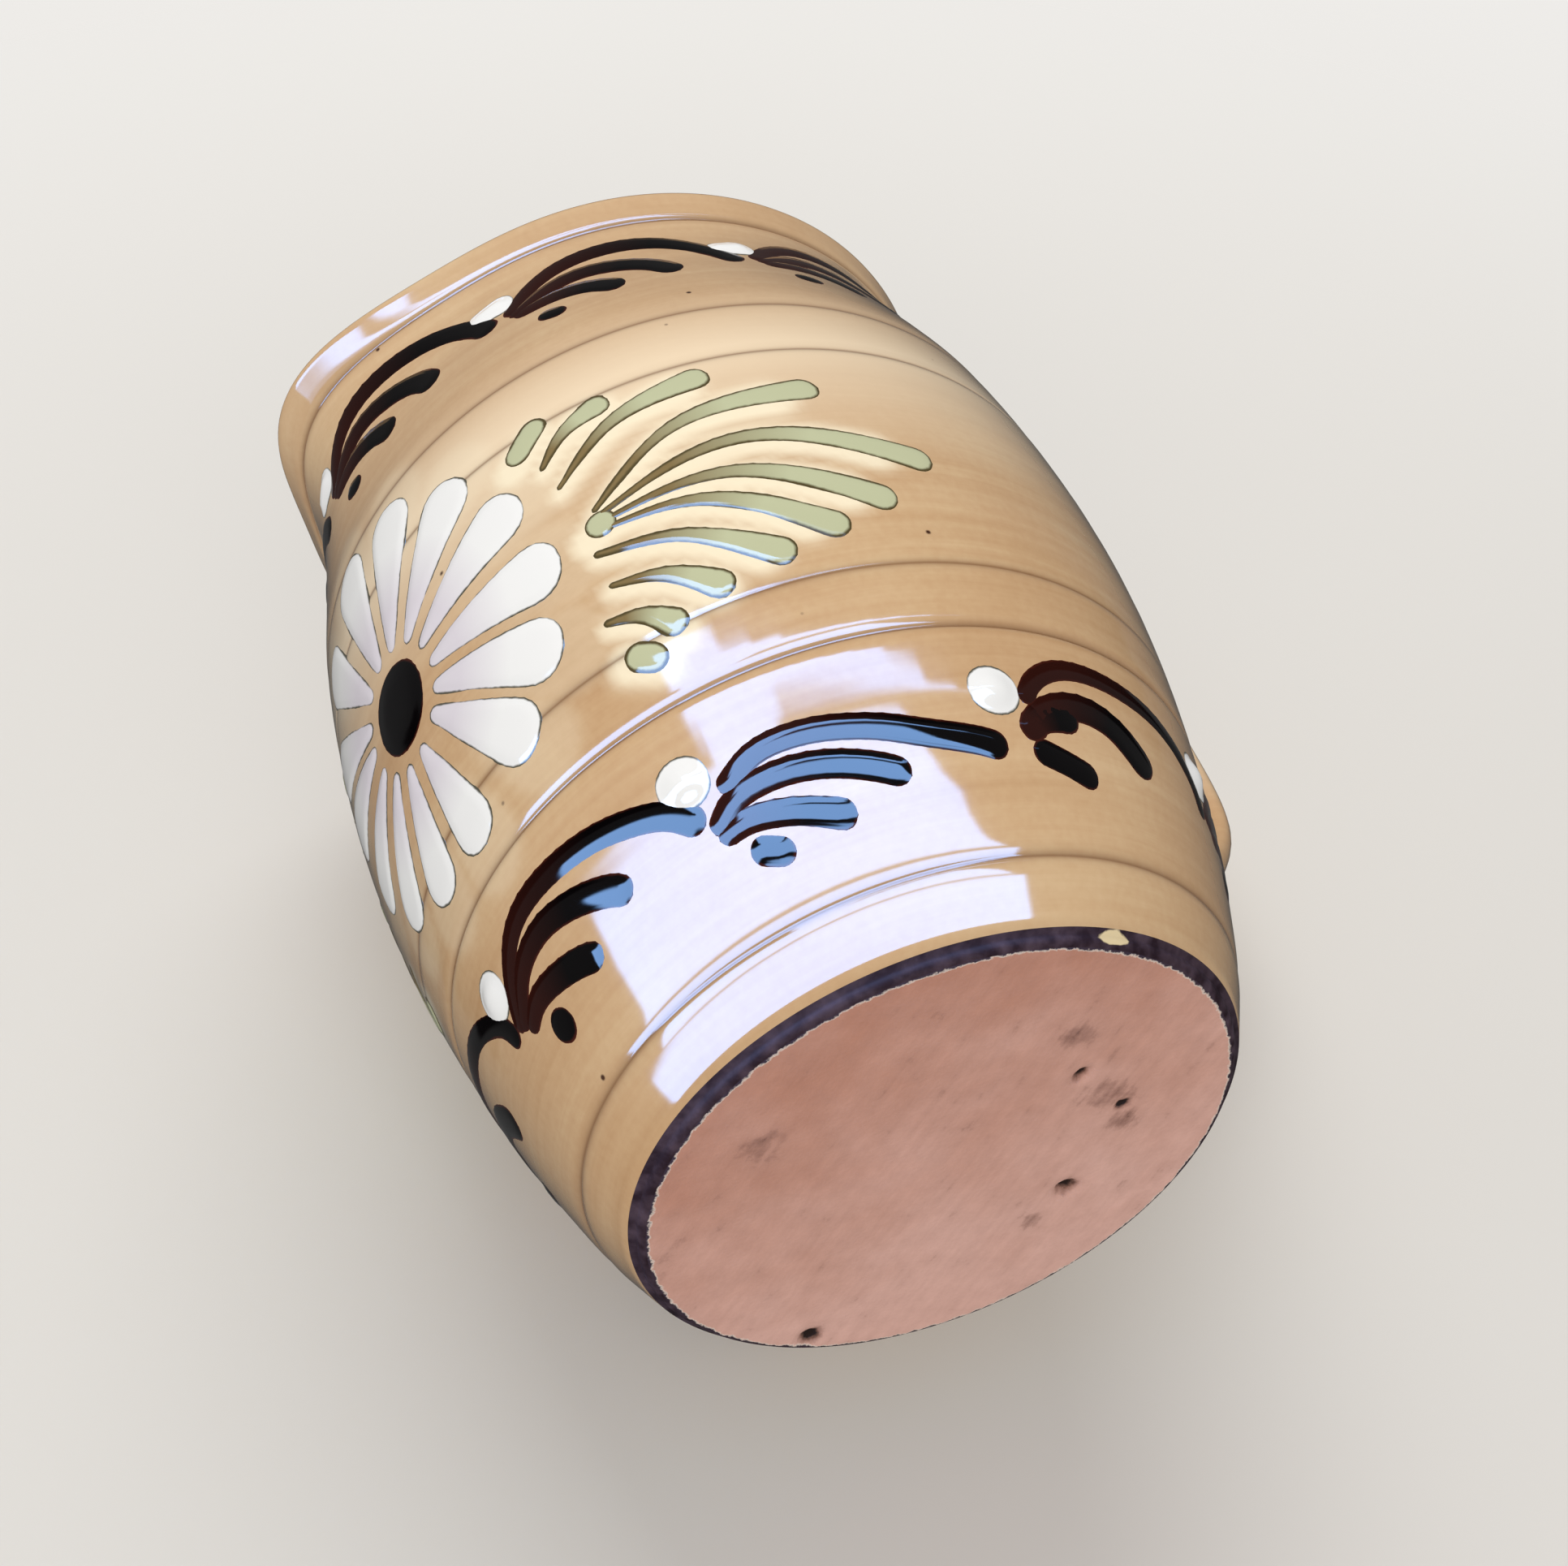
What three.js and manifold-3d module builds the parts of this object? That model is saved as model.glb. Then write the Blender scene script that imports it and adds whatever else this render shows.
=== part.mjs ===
// Slip-trailed earthenware jug: a thrown body with a pulled lip, a pulled strap handle, and the beads of
// coloured slip trailed on its wall. Millimetres, +Z up, the origin at the centre of the foot, the lip
// towards -Y and the handle towards +Y.
import * as THREE from 'three';
import Module from 'manifold-3d';
import { mergeVertices } from 'three/addons/utils/BufferGeometryUtils.js';

// Bands of the wall between its turned lines, from the foot up
const footBand = 8.5;
const lowerBand = 27;
const plainBand = 8.5;
const bellyBand = 38;
const shoulderBand = 11;
const upperBand = 28.4;
const collarBand = 5.6;

// Radii of the outside at those heights
const footRadius = 35;
const footLineRadius = 39.1;
const lowerLineRadius = 46.9;
const bellyRadius = 50.5;
const shoulderRadius = 49.1;
const neckRadius = 43.4;
const rimRadius = 44.8;

// Wall, floor and turned lines
const wall = 4.5;
const floor = 7;
const floorFillet = 8;
const footChamfer = 0.8;
const lineWidth = 1.6;
const lineDepth = 0.5;
const deepLineDepth = 0.9;

// Pulled lip
const lipReach = 8;
const lipDip = 2.6;
const lipHalfWidth = 16;
const lipDepth = 30;
const lipEase = 1.5;

// Strap handle, with its spine drawn from the widest part of the wall: out as shares of the reach and
// down as shares of the span
const handleDrop = 17;
const handleSpan = 64;
const handleReach = 24;
const handleSink = 2.5;
const strapWidth = 20;
const strapThickness = 8.5;
const tailWidth = 15;
const tailThickness = 7;
const rootFlare = 1.25;
const rootFlarePower = 6;
const handleSpine = [[0.27, -0.06], [0.92, 0.17], [0.94, 0.5], [0.79, 0.85]];

// Trailed slip: its seat on the wall and the relief and section of a bead
const seat = 0.3;
const relief = 1.1;
const beadSection = [[-1, 0], [-0.65, 0.75], [0, 1], [0.65, 0.75], [1, 0], [0, 0]];
const beadTip = 0.3;

// Running scrolls and their dots, drawn from the dot above each root: along as shares of the pitch and
// down as shares of the fall
const dotRadius = 3;
const dotGap = 0.6;
const scrollStart = 1;
const scrollTipGap = 1.7;
const scrollFall = 11;
const scrollHalfWidth = 1.75;
const scrollRootHalfWidth = 1.2;
const scrollBow = [[0.42, -0.14], [0.8, 0.2]];
const longFinger = [[0.28, 0.33], [0.46, 0.43], [0.66, 0.73]];
const shortFinger = [[0.2, 0.63], [0.33, 0.75], [0.45, 1]];
const bowSpring = 0.07;
const fingerSpring = 0.38;
const lowerDotRise = 18.5;
const upperDotRise = 20;
const lowerCount = 8;
const lowerPhase = -11.6;
const upperCount = 7;
const upperPitch = 42;
const upperPhase = -132.5;

// Daisy
const petalCount = 14;
const petalPhase = -5;
const petalLength = 19.4;
const petalHalfWidth = 4;
const petalRootHalfWidth = 0.8;
const petalSwell = 0.7;
const petalGap = 3;
const centreRadius = 5.6;

// Fern sprays: each stroke is a tail, a bend and a head, drawn from the hub as shares of the reach
const fernReach = 40;
const fernGap = 5.6;
const fernHalfWidth = 2.2;
const fernDrop = 1.2;
const fernTailHalfWidth = 0.6;
const fernFan = [
  [[0, 0.05], [0.3, 0.24], [0.75, 0.29]],
  [[0, 0.025], [0.46, 0.115], [0.99, -0.05]],
  [[0, 0], [0.4, -0.01], [0.815, -0.22]],
  [[0, -0.025], [0.3, -0.08], [0.64, -0.305]],
];
const fernSingles = [
  [[-0.09, 0.315], [0.01, 0.415], [0.165, 0.465]],
  [[-0.065, 0.2], [0.15, 0.36], [0.46, 0.43]],
  [[-0.045, -0.1], [0.2, -0.175], [0.46, -0.36]],
  [[-0.045, -0.22], [0.115, -0.275], [0.265, -0.4]],
  [[-0.1, -0.325], [0.01, -0.365], [0.1, -0.455]],
];

// Facets
const turns = 48;
const bandStep = 6;
const beadStep = 6;
const rimSteps = 5;
const filletSteps = 4;
const strapSteps = 20;
const strapSides = 12;
const slopeStep = 0.5;
const weld = 0.001;

const clay = { color: '#c89b63', roughness: 0.25, metalness: 0 };
const darkSlip = { color: '#1e0d0b', roughness: 0.2, metalness: 0 };
const whiteSlip = { color: '#f4f1e6', roughness: 0.2, metalness: 0 };
const greenSlip = { color: '#b7bd8c', roughness: 0.25, metalness: 0 };

const wasm = await Module();
wasm.setup();

// Heights of the turned lines and of the rim
const footLine = footBand;
const lowerLine = footLine + lowerBand;
const plainLine = lowerLine + plainBand;
const bellyLine = plainLine + bellyBand;
const shoulderLine = bellyLine + shoulderBand;
const neckLine = shoulderLine + upperBand;
const rimHeight = neckLine + collarBand;
const daisyHeight = (plainLine + bellyLine) / 2;

const wallCurve = new THREE.CubicInterpolant(
  [0, footLine, lowerLine, daisyHeight, shoulderLine, neckLine, rimHeight],
  [footRadius, footLineRadius, lowerLineRadius, bellyRadius, shoulderRadius, neckRadius, rimRadius],
  1,
);

function wallRadius(z) {
  return wallCurve.evaluate(z)[0];
}

// Draws a geometry out with the lip: all that lies near the front of the rim moves out and a little down.
function pullLip(geometry) {
  const position = geometry.getAttribute('position');
  const lipFoot = rimHeight - lipDepth;
  for (let i = 0; i < position.count; i += 1) {
    const [x, y, z] = [position.getX(i), position.getY(i), position.getZ(i)];
    const radius = Math.hypot(x, y);
    const along = (Math.atan2(x, -y) * rimRadius) / lipHalfWidth;
    const climb = THREE.MathUtils.clamp((z - lipFoot) / lipDepth, 0, 1);
    const pull = Math.exp(-along * along) * climb ** lipEase;
    const drawn = radius > 0 ? (radius + lipReach * pull) / radius : 1;
    position.setXYZ(i, x * drawn, y * drawn, z - lipDip * pull);
  }
  return geometry;
}

// A point at some lift off the thrown wall. The angle runs from the lip towards +X.
function offWall(angle, z, lift) {
  const slope = (wallRadius(z + slopeStep) - wallRadius(z - slopeStep)) / (2 * slopeStep);
  const normal = new THREE.Vector2(1, -slope).normalize();
  const radius = wallRadius(z) + lift * normal.x;
  return new THREE.Vector3(radius * Math.sin(angle), -radius * Math.cos(angle), z + lift * normal.y);
}

function turn(profile) {
  return new THREE.LatheGeometry(profile, turns).rotateX(Math.PI / 2);
}

// The outside of the wall from foot to rim, moved out by an offset, with or without its turned lines
function outerProfile(offset, lines) {
  const points = [];
  const add = (z, depth) => points.push(new THREE.Vector2(wallRadius(z) + offset - depth, z));
  const stops = [0, ...lines.map((line) => line.z), rimHeight];
  for (let band = 0; band < stops.length - 1; band += 1) {
    const line = lines[band];
    const low = band === 0 ? footChamfer : stops[band] + lineWidth / 2;
    const high = line ? stops[band + 1] - lineWidth / 2 : stops[band + 1];
    const steps = Math.ceil((high - low) / bandStep);
    for (let step = 0; step <= steps; step += 1) add(low + ((high - low) * step) / steps, 0);
    if (line) add(line.z, line.depth);
  }
  return points;
}

const turnedLines = [
  { z: footLine, depth: lineDepth },
  { z: lowerLine, depth: deepLineDepth },
  { z: plainLine, depth: lineDepth },
  { z: bellyLine, depth: lineDepth },
  { z: shoulderLine, depth: lineDepth },
  { z: neckLine, depth: deepLineDepth },
];

function arc(centre, radius, from, to, steps) {
  return Array.from({ length: steps + 1 }, (_, step) => {
    const angle = from + ((to - from) * step) / steps;
    return new THREE.Vector2(centre.x + radius * Math.cos(angle), centre.y + radius * Math.sin(angle));
  });
}

// Body: up the outside, over the round edge of the rim, down the inside and across the floor
function bodyGeometry() {
  const edge = new THREE.Vector2(rimRadius - wall / 2, rimHeight - wall / 2);
  const outside = outerProfile(0, turnedLines).filter((point) => point.y < edge.y);
  const rim = arc(edge, wall / 2, 0, Math.PI, rimSteps);
  const inside = [];
  const filletTop = floor + floorFillet;
  const steps = Math.ceil((edge.y - filletTop) / (2 * bandStep));
  for (let step = 1; step <= steps; step += 1) {
    const z = edge.y - ((edge.y - filletTop) * step) / steps;
    inside.push(new THREE.Vector2(wallRadius(z) - wall, z));
  }
  const filletCentre = new THREE.Vector2(wallRadius(filletTop) - wall - floorFillet, filletTop);
  const fillet = arc(filletCentre, floorFillet, 0, -Math.PI / 2, filletSteps).slice(1);
  const base = [new THREE.Vector2(0, 0), new THREE.Vector2(footRadius - footChamfer, 0)];
  return pullLip(turn([...base, ...outside, ...rim, ...inside, ...fillet, new THREE.Vector2(0, floor)]));
}

// Closes a skin over rings of points, with a fan to a point at each end
function skin(start, rings, end) {
  const size = rings[0].length;
  const points = [start, ...rings.flat(), end];
  const index = [];
  for (let k = 0; k < size; k += 1) {
    const next = (k + 1) % size;
    index.push(0, 1 + next, 1 + k);
    for (let ring = 0; ring < rings.length - 1; ring += 1) {
      const here = 1 + ring * size;
      const there = here + size;
      index.push(here + k, here + next, there + k, here + next, there + next, there + k);
    }
    const last = 1 + (rings.length - 1) * size;
    index.push(last + k, last + next, points.length - 1);
  }
  return new THREE.BufferGeometry().setFromPoints(points).setIndex(index);
}

// One stroke of trailed slip: a domed bead along a curve drawn flat, with round ends.
// toWall takes a point of the drawing and a lift to the wall.
function trail(toWall, curve, tailHalfWidth, headHalfWidth, swell = 1) {
  const length = curve.getLength();
  const roundEnd = (gap, half) => Math.sqrt(1 - (1 - Math.min(1, gap / half)) ** 2);
  const middle = length - tailHalfWidth - headHalfWidth;
  const steps = Math.round(middle / beadStep);
  const stride = middle / Math.max(1, steps);
  const stations = [beadTip * tailHalfWidth];
  for (let step = 0; step <= steps; step += 1) stations.push(tailHalfWidth + stride * step);
  stations.push(length - beadTip * headHalfWidth);
  const rings = stations.map((station) => {
    const share = station / length;
    const rounded = roundEnd(station, tailHalfWidth) * roundEnd(length - station, headHalfWidth);
    const half = THREE.MathUtils.lerp(tailHalfWidth, headHalfWidth, share ** swell) * rounded;
    const height = relief * Math.sqrt(half / Math.max(tailHalfWidth, headHalfWidth));
    const centre = curve.getPointAt(share);
    const heading = curve.getTangentAt(share);
    const side = new THREE.Vector2(heading.y, -heading.x);
    return beadSection.map(([across, up]) => {
      const point = centre.clone().addScaledVector(side, across * half);
      return toWall(point, seat + up * height);
    });
  });
  const ends = [0, 1].map((share) => toWall(curve.getPointAt(share), seat));
  return pullLip(skin(ends[0], rings, ends[1]));
}

// A drop as wide as it is long
function drop(toWall, centre, radius) {
  const reach = new THREE.Vector2(radius, 0);
  const across = new THREE.LineCurve(centre.clone().sub(reach), centre.clone().add(reach));
  return trail(toWall, across, radius, radius);
}

function solid(geometry) {
  const bare = new THREE.BufferGeometry().setAttribute('position', geometry.getAttribute('position'));
  const merged = mergeVertices(bare.setIndex(geometry.index), weld);
  return new wasm.Manifold(new wasm.Mesh({
    numProp: 3,
    vertProperties: merged.getAttribute('position').array,
    triVerts: new Uint32Array(merged.index.array),
  }));
}

function geometryOf(manifold) {
  const { vertProperties, triVerts } = manifold.getMesh();
  return new THREE.BufferGeometry()
    .setAttribute('position', new THREE.BufferAttribute(vertProperties, 3))
    .setIndex(new THREE.BufferAttribute(triVerts, 1));
}

function join(geometries) {
  return geometryOf(geometries.map(solid).reduce((whole, next) => whole.add(next)));
}

const jug = new THREE.Group();

function place(name, geometry, finish) {
  const mesh = new THREE.Mesh(geometry, new THREE.MeshStandardMaterial(finish));
  mesh.name = name;
  jug.add(mesh);
}

// Handle: an oval strap lofted along a curve behind the body and trimmed to the wall
function handleGeometry() {
  const upper = rimHeight - handleDrop;
  const root = (z) => new THREE.Vector3(0, wallRadius(z) - wall / 2, z - handleSink);
  const strap = new THREE.CatmullRomCurve3([
    root(upper),
    ...handleSpine.map(([out, down]) => {
      return new THREE.Vector3(0, bellyRadius + out * handleReach, upper - down * handleSpan);
    }),
    root(upper - handleSpan),
  ]);
  const rings = Array.from({ length: strapSteps + 1 }, (_, step) => {
    const share = step / strapSteps;
    const centre = strap.getPointAt(share);
    const heading = strap.getTangentAt(share);
    const outward = new THREE.Vector3(0, heading.z, -heading.y);
    const flare = 1 + (rootFlare - 1) * Math.abs(2 * share - 1) ** rootFlarePower;
    const halfWidth = (THREE.MathUtils.lerp(strapWidth, tailWidth, share) / 2) * flare;
    const halfThickness = (THREE.MathUtils.lerp(strapThickness, tailThickness, share) / 2) * flare;
    return Array.from({ length: strapSides }, (__, side) => {
      const angle = (side / strapSides) * 2 * Math.PI;
      return centre.clone()
        .addScaledVector(outward, halfThickness * Math.sin(angle))
        .add(new THREE.Vector3(halfWidth * Math.cos(angle), 0, 0));
    });
  });
  const blank = skin(strap.getPointAt(0), rings, strap.getPointAt(1));
  const axisFoot = new THREE.Vector2(0, 0);
  const axisTop = new THREE.Vector2(0, rimHeight);
  const core = turn([axisFoot, ...outerProfile(seat, []), axisTop]);
  return geometryOf(solid(blank).subtract(solid(core)));
}

place('body', bodyGeometry(), clay);
place('handle', handleGeometry(), clay);

function splineOf(points) {
  return new THREE.SplineCurve(points.map(([x, y]) => new THREE.Vector2(x, y)));
}

// Running scroll: a bow to the next dot and two fingers under it, from one root
function scrollStrokes(pitch) {
  const beside = dotRadius + dotGap + scrollHalfWidth;
  const root = [scrollStart, -beside];
  const drawn = (points) => points.map(([along, down]) => [along * pitch, -down * scrollFall]);
  const tip = [pitch - scrollStart, -beside - scrollTipGap];
  return [
    [root, [beside, -bowSpring * scrollFall], ...drawn(scrollBow), tip],
    [root, [beside, -fingerSpring * scrollFall], ...drawn(longFinger)],
    [root, ...drawn(shortFinger)],
  ].map(splineOf);
}

function scrollBand(name, dotHeight, pitch, phase, count, dots) {
  const radius = wallRadius(dotHeight);
  const pitchLength = THREE.MathUtils.degToRad(pitch) * radius;
  for (let unit = 0; unit < dots; unit += 1) {
    const turnBy = THREE.MathUtils.degToRad(phase + pitch * unit);
    const toWall = (point, lift) => offWall(turnBy + point.x / radius, dotHeight + point.y, lift);
    place(`${name}_dot_${unit + 1}`, drop(toWall, new THREE.Vector2(0, 0), dotRadius), whiteSlip);
    if (unit < count) {
      const strokes = scrollStrokes(pitchLength).map((spine) => {
        return trail(toWall, spine, scrollRootHalfWidth, scrollHalfWidth);
      });
      place(`${name}_scroll_${unit + 1}`, join(strokes), darkSlip);
    }
  }
}

const lowerPitch = 360 / lowerCount;
scrollBand('lower', footLine + lowerDotRise, lowerPitch, lowerPhase, lowerCount, lowerCount);
scrollBand('upper', shoulderLine + upperDotRise, upperPitch, upperPhase, upperCount, upperCount + 1);

// The daisy and its two fern sprays are drawn flat about the daisy's centre.
function onBelly(point, lift) {
  return offWall(point.x / bellyRadius, daisyHeight + point.y, lift);
}

place('daisy_centre', drop(onBelly, new THREE.Vector2(0, 0), centreRadius), darkSlip);

for (let petal = 0; petal < petalCount; petal += 1) {
  const angle = THREE.MathUtils.degToRad(petalPhase) + (2 * Math.PI * petal) / petalCount;
  const ray = new THREE.Vector2(Math.cos(angle), Math.sin(angle));
  const inner = centreRadius + petalGap;
  const spine = new THREE.LineCurve(
    ray.clone().multiplyScalar(inner),
    ray.clone().multiplyScalar(inner + petalLength),
  );
  const bead = trail(onBelly, spine, petalRootHalfWidth, petalHalfWidth, petalSwell);
  place(`petal_${petal + 1}`, bead, whiteSlip);
}

function fernSpray(side, mirror) {
  const hub = centreRadius + petalGap + petalLength + fernGap;
  const toWall = (point, lift) => {
    return onBelly(new THREE.Vector2(mirror * (hub + point.x), point.y - fernDrop), lift);
  };
  const stroke = (points) => {
    const spine = splineOf(points.map(([along, up]) => [along * fernReach, up * fernReach]));
    const bead = trail(toWall, spine, fernTailHalfWidth, fernHalfWidth);
    if (mirror < 0) bead.index.array.reverse();
    return bead;
  };
  place(`${side}_fern_fan`, join(fernFan.map(stroke)), greenSlip);
  fernSingles.forEach((points, k) => place(`${side}_fern_${k + 1}`, stroke(points), greenSlip));
}

fernSpray('right', 1);
fernSpray('left', -1);

export default jug;
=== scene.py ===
import math
import bpy
import numpy as np
from mathutils import Matrix, Vector


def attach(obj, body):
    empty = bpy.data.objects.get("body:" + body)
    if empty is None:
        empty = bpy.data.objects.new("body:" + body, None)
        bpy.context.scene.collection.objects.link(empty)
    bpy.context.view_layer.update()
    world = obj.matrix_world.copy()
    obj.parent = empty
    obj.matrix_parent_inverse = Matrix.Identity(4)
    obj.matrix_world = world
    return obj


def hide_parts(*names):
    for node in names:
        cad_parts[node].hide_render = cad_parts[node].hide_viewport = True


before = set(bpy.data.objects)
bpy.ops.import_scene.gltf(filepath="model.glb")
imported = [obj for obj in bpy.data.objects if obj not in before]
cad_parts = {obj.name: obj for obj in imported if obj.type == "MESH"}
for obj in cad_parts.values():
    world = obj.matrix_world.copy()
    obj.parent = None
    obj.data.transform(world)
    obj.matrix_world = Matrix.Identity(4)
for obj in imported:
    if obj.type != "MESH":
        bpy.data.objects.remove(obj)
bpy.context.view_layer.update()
print("frame loaded:", len(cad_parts), "nodes")

mm = 0.001
# a length that keeps divisions from zero, and half the stretch that a slope is read over, mm
tinyLength = 1e-6
slopeReach = 0.5

# the thrown wall, mm: outside heights and radii, then the pulled lip
jugWall = {
    "heights": (0, 8.5, 35.5, 63, 93, 121.4, 127),
    "radii": (35, 39.1, 46.9, 50.5, 49.1, 43.4, 44.7),
    "thickness": 4.5,
    "lipReach": 8,
    "lipDip": 2.6,
    "lipHalfWidth": 16,
    "lipDepth": 30,
    "lipEase": 1.5,
}
footLine, lowerLine, daisyHeight, shoulderLine, neckLine, rimHeight = jugWall["heights"][1:]
footRadius = jugWall["radii"][0]
bellyRadius = jugWall["radii"][3]
neckRadius, rimRadius = jugWall["radii"][-2:]


def easeStep(t):
    return t * t * (3 - 2 * t)


def bridge(t, span, ends, slopes):
    # a smooth run from one end to the other with a given slope at each
    swing = t * (1 - t) * span * ((1 - t) * slopes[0] - t * slopes[1])
    return ends[0] + easeStep(t) * (ends[1] - ends[0]) + swing


def wallRadius(z):
    heights = np.array(jugWall["heights"], float)
    radii = np.array(jugWall["radii"], float)
    chord = np.diff(radii) / np.diff(heights)
    slope = np.concatenate(([chord[0]], (chord[1:] + chord[:-1]) / 2, [chord[-1]]))
    z = np.asarray(z, float)
    k = np.clip(np.searchsorted(heights, z) - 1, 0, len(heights) - 2)
    span = heights[k + 1] - heights[k]
    t = (z - heights[k]) / span
    return bridge(t, span, (radii[k], radii[k + 1]), (slope[k], slope[k + 1]))


def pullLip(points):
    x, y, z = points.T
    radius = np.maximum(np.hypot(x, y), tinyLength)
    along = np.arctan2(x, -y) * rimRadius / jugWall["lipHalfWidth"]
    climb = np.clip((z - rimHeight) / jugWall["lipDepth"] + 1, 0, 1)
    pull = np.exp(-along ** 2) * climb ** jugWall["lipEase"]
    drawn = 1 + jugWall["lipReach"] * pull / radius
    return np.stack((x * drawn, y * drawn, z - jugWall["lipDip"] * pull), 1)


def offWall(angle, z, lift):
    # the angle runs from the lip towards +X, so a drawing reads from left to right as seen from outside
    slope = (wallRadius(z + slopeReach) - wallRadius(z - slopeReach)) / (2 * slopeReach)
    tilt = np.hypot(1, slope)
    radius = wallRadius(z) + lift / tilt
    return pullLip(np.stack((radius * np.sin(angle), -radius * np.cos(angle), z - lift * slope / tilt), 1))


def readPoints(mesh):
    flat = np.empty(len(mesh.vertices) * 3, np.float32)
    mesh.vertices.foreach_get("co", flat)
    return flat.reshape(-1, 3).astype(float)


def writePoints(mesh, points):
    mesh.vertices.foreach_set("co", points.astype(np.float32).ravel())
    mesh.update()


def writeAttribute(mesh, name, values):
    layer = mesh.attributes.new(name, "FLOAT", "POINT")
    layer.data.foreach_set("value", values.astype(np.float32))


def linearColour(hexText):
    # the standard curve from screen values to light
    parts = [int(hexText[i:i + 2], 16) / 255 for i in (1, 3, 5)]
    return tuple(c / 12.92 if c <= 0.04045 else ((c + 0.055) / 1.055) ** 2.4 for c in parts) + (1,)


def addGrid(name, alongCount, acrossCount):
    bpy.ops.object.select_all(action="DESELECT")
    bpy.ops.mesh.primitive_grid_add(x_subdivisions=alongCount, y_subdivisions=acrossCount, size=1)
    sheet = bpy.context.active_object
    sheet.name = name
    return sheet


def smoothPath(points, perSpan=24):
    # an even curve through given points, as places and their distance from the start
    points = np.array(points, float)
    runs = np.diff(points, axis=0)
    knots = np.concatenate(([0], np.cumsum(np.sqrt(np.linalg.norm(runs, axis=1)))))
    if len(points) > 2:
        slopes = np.gradient(points, knots, axis=0)
    else:
        slopes = np.repeat(runs / knots[1], 2, 0)
    path = [points[:1]]
    for k in range(len(points) - 1):
        t = np.linspace(0, 1, perSpan + 1)[1:, None]
        path.append(bridge(t, knots[k + 1] - knots[k], points[k:k + 2], slopes[k:k + 2]))
    path = np.concatenate(path)
    reach = np.concatenate(([0], np.cumsum(np.linalg.norm(np.diff(path, axis=0), axis=1))))
    return path, reach


def placeAt(distance, path, reach):
    return np.stack([np.interp(distance, reach, path[:, k]) for k in (0, 1)], 1)


def newMaterial(name):
    material = bpy.data.materials.new(name)
    material.use_nodes = True
    material.node_tree.nodes.clear()
    return material, material.node_tree


def addNode(tree, kind, inputs=None, **settings):
    node = tree.nodes.new(kind)
    for key, value in settings.items():
        setattr(node, key, value)
    for key, value in (inputs or {}).items():
        if isinstance(value, bpy.types.NodeSocket):
            tree.links.new(value, node.inputs[key])
        else:
            node.inputs[key].default_value = value
    return node


def addPlaces(tree):
    # places on the piece, mm
    coords = addNode(tree, "ShaderNodeTexCoord").outputs["Object"]
    return addNode(tree, "ShaderNodeVectorMath", {0: coords, "Scale": 1 / mm}, operation="SCALE").outputs[0]


def addField(tree, name):
    return addNode(tree, "ShaderNodeAttribute", attribute_name=name).outputs["Fac"]


def addMath(tree, operation, *values):
    return addNode(tree, "ShaderNodeMath", dict(enumerate(values)), operation=operation).outputs[0]


def addNoise(tree, vector, scale, **more):
    inputs = {"Vector": vector, "Scale": scale}
    inputs.update((key.capitalize(), value) for key, value in more.items())
    return addNode(tree, "ShaderNodeTexNoise", inputs).outputs[0]


def addRange(tree, value, limits, least=0, most=1):
    return addNode(tree, "ShaderNodeMapRange", {
        0: value, "From Min": limits[0], "From Max": limits[1], "To Min": least, "To Max": most}).outputs[0]


def addTint(tree, share, under, over):
    mix = addNode(tree, "ShaderNodeMix", {"Factor": share, "A": under, "B": over}, data_type="RGBA")
    return mix.outputs[2]


# Glazed earthenware: tan slip under a clear glaze, so the ground shows faint throwing streaks, goes cream
# beside the white and green slip, partly as a painted lit band below each stroke, brown where glaze pools in
# the lines, and mirrors windows. The shoulder is painted paler, as painted light from above. Sizes in mm
glazedClay = {
    "ground": "#cea980",
    "groundPale": "#dbbc93",
    "groundDeep": "#c0976d",
    "shoulderPaintedLight": "#f2dab9",
    "halo": "#fff1d2",
    "pool": "#6b4020",
    "speck": "#4a2f22",
    "roughness": 0.12,
    "bodyShine": 0.3,
    "coatIor": 1.6,
    "coatRoughness": 0.045,
    "streakScale": 0.012,
    "streakHeight": 2.2,
    "cloudSize": 26,
    "mottleSize": 1.1,
    "mottleShare": 0.35,
    "toneRange": (0.7, 1.65),
    "shoulderRise": (60, 84),
    "shoulderFall": (84, 98),
    "shoulderLeft": 0.1,
    "speckSize": 2.6,
    "speckRarity": 0.985,
    "speckRange": (0.16, 0.08),
    "haloShare": 0.9,
    "poolShare": 0.7,
    "waveSize": 9,
    "waveStrength": 0.15,
    "waveDepth": 0.1,
}


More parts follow.
